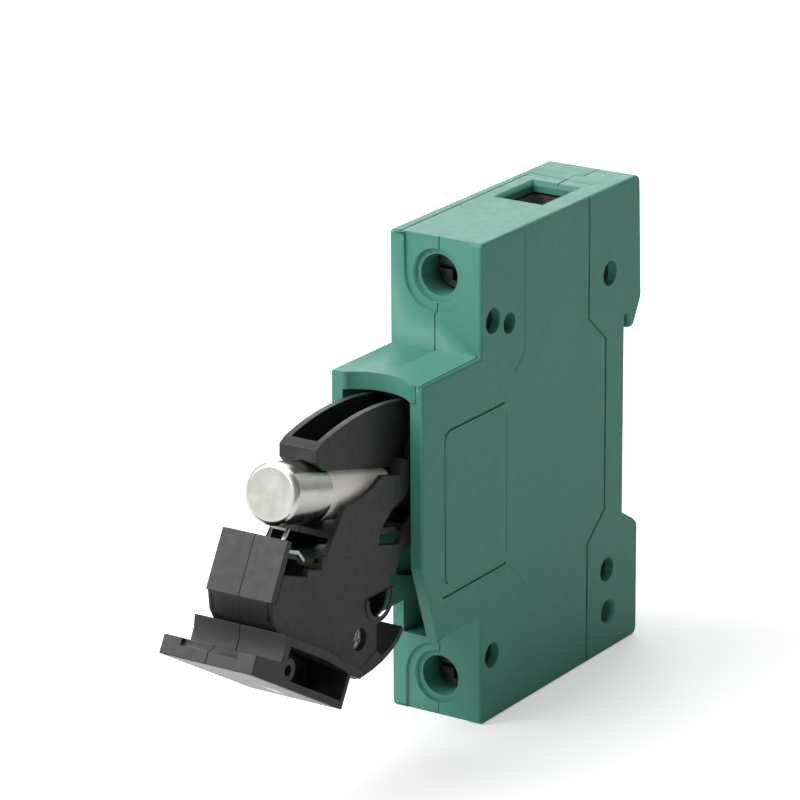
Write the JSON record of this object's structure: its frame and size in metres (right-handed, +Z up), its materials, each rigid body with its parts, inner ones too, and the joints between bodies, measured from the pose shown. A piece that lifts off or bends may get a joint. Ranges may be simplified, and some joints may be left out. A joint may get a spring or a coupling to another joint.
{
  "type": "fuse holder",
  "caption": "Green DIN rail fuse holder, one pole, its black carrier swung open to show a cylindrical fuse in its cradle",
  "frame": {"origin": "middle of the rail seat face, on the centre line of the 35 mm rail", "axes": "+X across the pole along the rail, +Y towards the rail, +Z up as mounted on a wall"},
  "size_m": [0.018, 0.1187, 0.0844],
  "materials": {
    "housing_green": "fine satin moulded plastic",
    "black_plastic": "satin black moulded plastic",
    "steel": "zinc plated steel",
    "tinned_copper": "tinned copper",
    "nickel": "bright nickel plate",
    "ceramic": "off-white glazed ceramic",
    "sand": "packed quartz sand",
    "board": "dark printed circuit board",
    "lamp_red": "clear red plastic",
    "resistor": "coated film resistor",
    "label_silver": "plain satin aluminium plate"
  },
  "bodies": {
    "housing": {"housing_right": "housing_green", "housing_left": "housing_green", "housing_rivets": "steel", "latch_spring": "steel", "upper_contact": "tinned_copper", "lower_contact": "tinned_copper", "upper_jaw_spring": "steel", "lower_jaw_spring": "steel"},
    "rail_latch": {"rail_latch": "black_plastic"},
    "upper_cage": {"upper_terminal_cage": "steel"},
    "lower_cage": {"lower_terminal_cage": "steel"},
    "upper_screw": {"upper_terminal_screw": "steel"},
    "lower_screw": {"lower_terminal_screw": "steel"},
    "pins": {"carrier_pins": "steel"},
    "carrier": {"carrier_right": "black_plastic", "carrier_left": "black_plastic", "fuse_arm": "black_plastic", "handle_right": "black_plastic", "handle_left": "black_plastic", "front_label": "label_silver", "carrier_skirt": "black_plastic", "carrier_rivet": "steel", "indicator_board": "board", "indicator_lamp": "lamp_red", "indicator_resistor": "resistor", "indicator_window": "lamp_red", "upper_contact_spring": "steel", "lower_contact_spring": "steel", "contact_wire": "steel"},
    "fuse": {"fuse_tube": "ceramic", "fuse_cap_top": "nickel", "fuse_cap_bottom": "nickel", "fuse_element": "nickel", "fuse_sand": "sand"}
  },
  "joints": [
    {"name": "pin_travel", "type": "hinge", "parent": "housing", "child": "pins", "pos_m": [0, -0.0379, 0.00454], "axis": [1, 0, 0], "range_deg": [0, 75.71]},
    {"name": "carrier_swing", "type": "hinge", "parent": "pins", "child": "carrier", "pos_m": [0, -0.05993, -0.00128], "axis": [1, 0, 0], "range_deg": [-135.7, 0]},
    {"name": "fuse_slide", "type": "slide", "parent": "carrier", "child": "fuse", "axis": [0, -0.9677, 0.2521], "range_m": [0, 0.034]},
    {"name": "upper_screw_turn", "type": "hinge", "parent": "housing", "child": "upper_screw", "pos_m": [0, -0.0384, 0.03545], "axis": [0, 1, 0], "range_deg": [0, 2925]},
    {"name": "lower_screw_turn", "type": "hinge", "parent": "housing", "child": "lower_screw", "pos_m": [0, -0.0384, -0.03545], "axis": [0, 1, 0], "range_deg": [0, 2925]},
    {"name": "upper_cage_slide", "type": "slide", "parent": "housing", "child": "upper_cage", "axis": [0, -1, 0], "range_m": [0, 0.0065]},
    {"name": "lower_cage_slide", "type": "slide", "parent": "housing", "child": "lower_cage", "axis": [0, -1, 0], "range_m": [0, 0.0065]},
    {"name": "latch_slide", "type": "slide", "parent": "housing", "child": "rail_latch", "axis": [0, 0, -1], "range_m": [0, 0.003], "stiffness_N_per_m": 200, "springref_m": -0.002, "deforming": ["latch_spring"]}
  ],
  "couplings": [
    {"joint": "pin_travel", "follows": "carrier_swing", "ratio": -0.55785},
    {"joint": "upper_screw_turn", "follows": "upper_cage_slide", "rad_per_m": 7854},
    {"joint": "lower_screw_turn", "follows": "lower_cage_slide", "rad_per_m": 7854}
  ]
}
